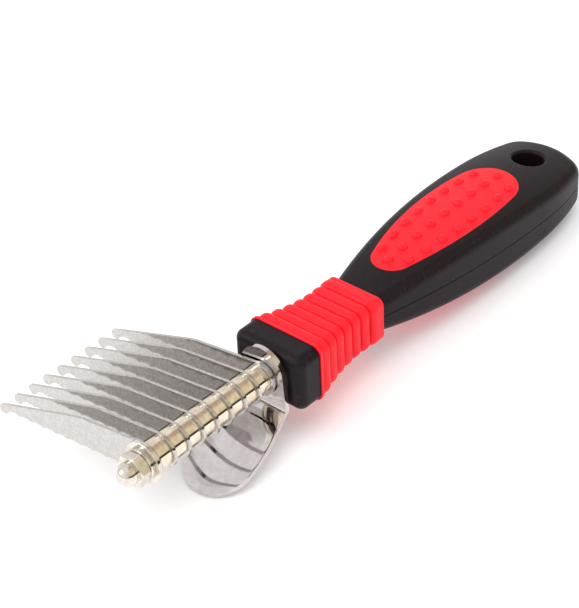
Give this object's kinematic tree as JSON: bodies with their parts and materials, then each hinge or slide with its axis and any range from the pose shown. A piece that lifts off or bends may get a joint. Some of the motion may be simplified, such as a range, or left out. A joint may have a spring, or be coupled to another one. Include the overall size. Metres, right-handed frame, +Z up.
{
  "type": "dematting comb",
  "caption": "Pet grooming comb that cuts mats: a row of hooked, scalloped steel blades on a stud, a sheet thumb rest and a moulded handle with soft grips.",
  "frame": {"origin": "centre of the footprint, at the height of the lowest point, which is the thumb rest's front edge", "axes": "+X along the stud towards the handle's rear end, +Y towards the blade tips, +Z up out of the handle's top pad"},
  "size_m": [0.1742, 0.0682, 0.032],
  "materials": {
    "black_plastic": "fine satin moulding texture",
    "red_rubber": "smooth satin soft grip",
    "blade_steel": "ground and polished sheet",
    "polished_steel": "mirror polished sheet",
    "nickel": "bright nickel plate",
    "zinc_steel": "bright zinc plate"
  },
  "bodies": {
    "handle": {"handle_core": "black_plastic", "grip_sleeve": "red_rubber", "grip_pad_top": "red_rubber", "grip_pad_bottom": "red_rubber", "clamp_stud": "zinc_steel", "rear_washer": "zinc_steel"},
    "thumb_rest": {"thumb_rest": "polished_steel", "shim_washer": "zinc_steel"},
    "blade_pack": {"blade_1": "blade_steel", "blade_2": "blade_steel", "blade_3": "blade_steel", "blade_4": "blade_steel", "blade_5": "blade_steel", "blade_6": "blade_steel", "blade_7": "blade_steel", "blade_8": "blade_steel", "blade_9": "blade_steel", "spacer_1": "nickel", "spacer_2": "nickel", "spacer_3": "nickel", "spacer_4": "nickel", "spacer_5": "nickel", "spacer_6": "nickel", "spacer_7": "nickel", "spacer_8": "nickel"},
    "front_washers": {"flat_washer": "nickel", "spring_washer": "nickel"},
    "cap_nut": {"cap_nut": "nickel"}
  },
  "joints": [
    {"name": "thumb_rest_turn", "type": "hinge", "parent": "handle", "child": "thumb_rest", "pos_m": [-0.03611, -0.01919, 0.02083], "axis": [1, 0, 0], "range_deg": [-180, 180]},
    {"name": "blade_pack_turn", "type": "hinge", "parent": "thumb_rest", "child": "blade_pack", "pos_m": [-0.03761, -0.01919, 0.02083], "axis": [1, 0, 0], "range_deg": [-10, 200]},
    {"name": "washer_slide", "type": "slide", "parent": "handle", "child": "front_washers", "axis": [-1, 0, 0], "range_m": [0, 0.004]},
    {"name": "cap_nut_turn", "type": "hinge", "parent": "front_washers", "child": "cap_nut", "pos_m": [-0.08161, -0.01919, 0.02083], "axis": [-1, 0, 0], "range_deg": [0, 1805]}
  ],
  "couplings": [
    {"joint": "cap_nut_turn", "follows": "washer_slide", "rad_per_m": 7854}
  ]
}
